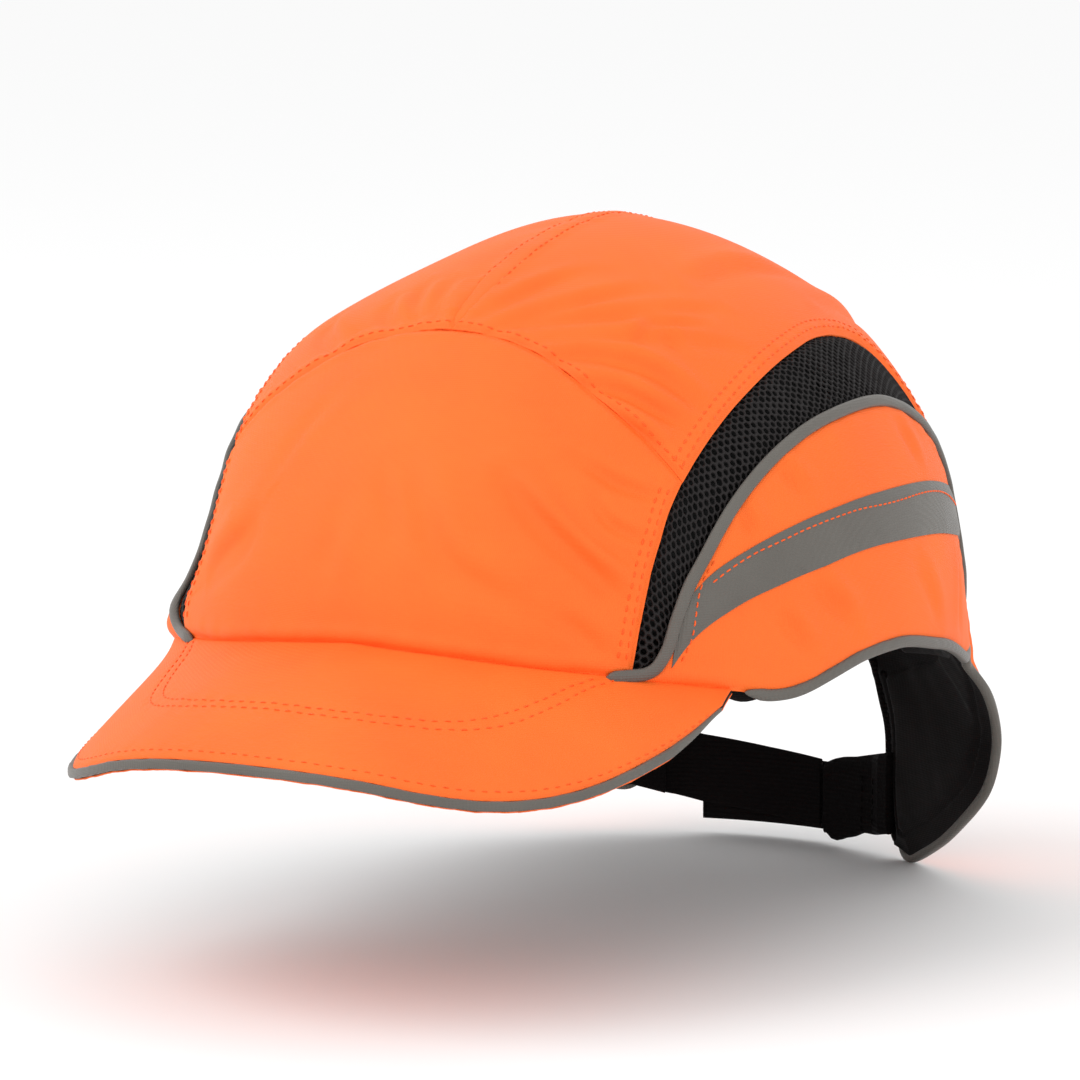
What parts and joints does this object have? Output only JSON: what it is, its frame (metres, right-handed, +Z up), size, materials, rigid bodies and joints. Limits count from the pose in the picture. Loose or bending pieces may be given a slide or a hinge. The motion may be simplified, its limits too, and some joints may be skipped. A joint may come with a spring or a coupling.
{
  "type": "bump cap",
  "caption": "Peaked high-visibility bump cap with a hard inner shell, mesh side vents, reflective bands and a touch-fastened nape strap.",
  "frame": {"origin": "middle of the head opening, on the head band plane", "axes": "-Y is the way the wearer faces, +X is the wearer's left, +Z is up through the crown"},
  "size_m": [0.1886, 0.2808, 0.1748],
  "materials": {
    "hi_vis_fabric": "plain woven polyester, faint sheen",
    "vent_mesh": "knitted mesh with round holes",
    "reflective_tape": "retroreflective tape, matte grey in plain light",
    "reflective_piping": "retroreflective fabric over a cord",
    "padded_lining": "brushed lining over thin padding",
    "black_webbing": "flat woven webbing",
    "hook_tape": "hook tape, fine stiff hooks",
    "pile_tape": "loop tape, soft pile",
    "shell_plastic": "moulded shell, satin",
    "peak_board": "flexible board",
    "foam": "closed cell foam"
  },
  "bodies": {
    "cap": {"front_panel": "hi_vis_fabric", "crown_panel_left": "hi_vis_fabric", "crown_panel_right": "hi_vis_fabric", "crown_seam_tape": "hi_vis_fabric", "mesh_vent_left": "vent_mesh", "mesh_vent_right": "vent_mesh", "side_panel_left": "hi_vis_fabric", "side_panel_right": "hi_vis_fabric", "reflective_band_left": "reflective_tape", "reflective_band_right": "reflective_tape", "fin_piping_left": "reflective_piping", "fin_piping_right": "reflective_piping", "hem_piping_left": "reflective_piping", "hem_piping_right": "reflective_piping", "nape_wing_left": "hi_vis_fabric", "nape_wing_right": "hi_vis_fabric", "wing_lining_left": "padded_lining", "wing_lining_right": "padded_lining", "rear_binding": "black_webbing", "peak_core": "peak_board", "peak_top_cover": "hi_vis_fabric", "peak_under_cover": "hi_vis_fabric", "peak_piping": "reflective_piping", "hard_shell": "shell_plastic", "pad_front": "foam", "pad_crown": "foam", "pad_left": "foam", "pad_right": "foam", "pad_rear": "foam", "sweatband": "padded_lining", "strap_stub_left": "black_webbing", "strap_stub_right": "black_webbing"},
    "strap_left_half": {"strap_outer": "black_webbing", "hook_patch": "hook_tape"},
    "strap_right_half": {"strap_inner": "black_webbing", "pile_patch": "pile_tape"}
  },
  "joints": [
    {"name": "outer_strap_fold", "type": "hinge", "parent": "cap", "child": "strap_left_half", "pos_m": [0.01286, 0.11595, -0.0476], "axis": [0, 0, -1], "range_deg": [0, 100]},
    {"name": "inner_strap_fold", "type": "hinge", "parent": "cap", "child": "strap_right_half", "pos_m": [-0.0322, 0.10673, -0.04], "axis": [0, 0, -1], "range_deg": [0, 60]}
  ]
}
